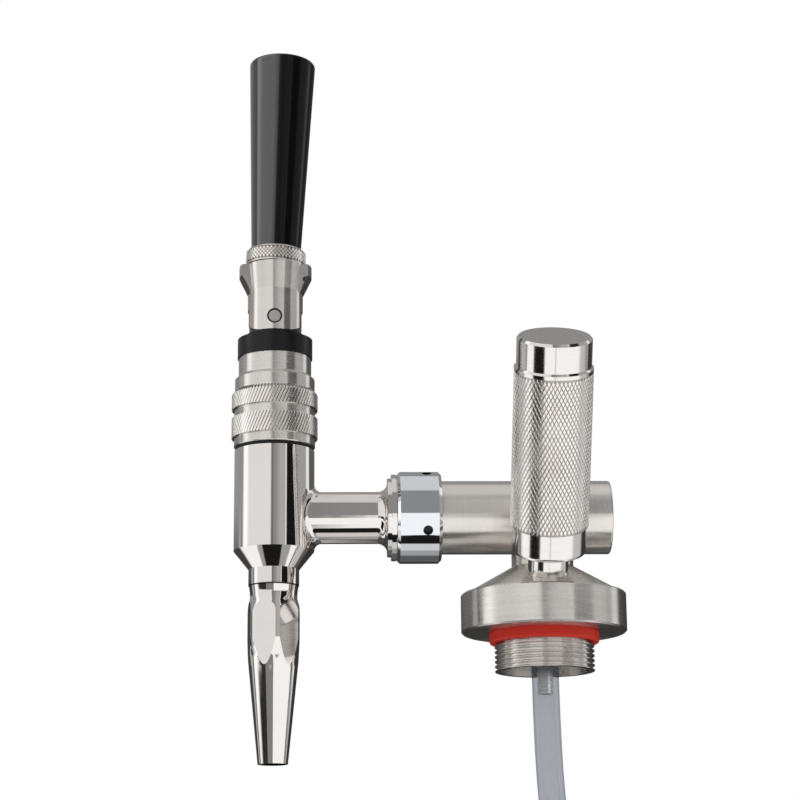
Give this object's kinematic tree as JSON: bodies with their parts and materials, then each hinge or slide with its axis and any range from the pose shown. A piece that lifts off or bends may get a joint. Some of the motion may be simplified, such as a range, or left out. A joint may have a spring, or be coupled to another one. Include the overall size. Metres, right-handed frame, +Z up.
{
  "type": "nitro coffee tap",
  "caption": "Nitro coffee tap on a threaded keg cap: plunger faucet with a tilting lever, side shank, coupling nut and a knurled gas cartridge sleeve.",
  "frame": {"origin": "on the keg thread's axis, in the plane of the flange's underside", "axes": "+Z up along the keg thread's axis, -X from the keg cap towards the faucet, -Y towards the leaning gas cartridge sleeve"},
  "size_m": [0.1497, 0.1076, 0.4545],
  "materials": {
    "brushed_steel": "turned and brushed stainless steel",
    "knurled_steel": "satin stainless steel with knurled bands",
    "polished_steel": "mirror polished stainless steel",
    "chrome": "bright chrome plate",
    "inner_steel": "plain machined stainless steel",
    "spring_steel": "drawn spring wire",
    "brass": "machined brass",
    "gloss_black": "gloss black moulded plastic",
    "satin_black": "satin black acetal",
    "white_plastic": "natural acetal",
    "red_silicone": "satin red silicone",
    "black_rubber": "black seal rubber",
    "hose": "translucent silicone hose"
  },
  "bodies": {
    "cap": {"keg_cap": "brushed_steel", "keg_gasket": "red_silicone", "liquid_barb": "inner_steel", "dip_tube": "hose", "shank_tube": "brushed_steel", "shank_end_plug": "brushed_steel", "shank_nose": "inner_steel", "shank_washer": "black_rubber", "gas_port": "polished_steel", "pierce_needle": "inner_steel", "gas_seal": "black_rubber", "gas_check_valve": "black_rubber"},
    "nut": {"coupling_nut": "chrome"},
    "faucet": {"faucet_body": "polished_steel", "bonnet": "knurled_steel", "bonnet_gasket": "black_rubber", "cam_ring": "satin_black", "plunger_guide": "white_plastic", "plunger_o_ring": "black_rubber", "nozzle": "polished_steel", "nozzle_o_ring": "black_rubber", "restrictor_disc": "inner_steel", "flow_straightener": "white_plastic"},
    "plunger": {"plunger_shaft": "inner_steel", "valve_seal": "black_rubber", "seal_screw": "inner_steel", "retaining_clip": "spring_steel", "spring_washer": "inner_steel", "return_spring": "spring_steel"},
    "lever": {"lever_yoke": "brushed_steel", "pivot_pin": "polished_steel", "handle_stud": "inner_steel", "lock_ring": "knurled_steel", "handle": "gloss_black", "handle_insert": "brass"},
    "cartridge": {"gas_cartridge": "inner_steel"},
    "sleeve": {"cartridge_sleeve": "knurled_steel"}
  },
  "joints": [
    {"name": "coupling_nut_turn", "type": "hinge", "parent": "cap", "child": "nut", "pos_m": [-0.0469, 0, 0.0443], "axis": [1, 0, 0], "range_deg": [0, 2522]},
    {"name": "faucet_release", "type": "slide", "parent": "cap", "child": "faucet", "axis": [-1, 0, 0], "range_m": [0, 0.00987]},
    {"name": "plunger_lift", "type": "slide", "parent": "faucet", "child": "plunger", "axis": [0, 0, 1], "range_m": [0, 0.00393], "stiffness_N_per_m": 1500, "springref_m": -0.01, "deforming": ["return_spring"]},
    {"name": "lever_tilt", "type": "hinge", "parent": "plunger", "child": "lever", "pos_m": [-0.1019, 0, 0.1216], "axis": [0, -1, 0], "range_deg": [0, 45]},
    {"name": "sleeve_travel", "type": "slide", "parent": "cap", "child": "cartridge", "axis": [0, -0.5, 0.866], "range_m": [0, 0.00901]},
    {"name": "sleeve_turn", "type": "hinge", "parent": "cartridge", "child": "sleeve", "pos_m": [0, -0.02, 0.02018], "axis": [0, -0.5, 0.866], "range_deg": [0, 2160]}
  ],
  "couplings": [
    {"joint": "coupling_nut_turn", "follows": "faucet_release", "rad_per_m": 4456.2},
    {"joint": "plunger_lift", "follows": "lever_tilt", "m_per_rad": 0.005},
    {"joint": "sleeve_travel", "follows": "sleeve_turn", "m_per_rad": 0.00023873}
  ]
}
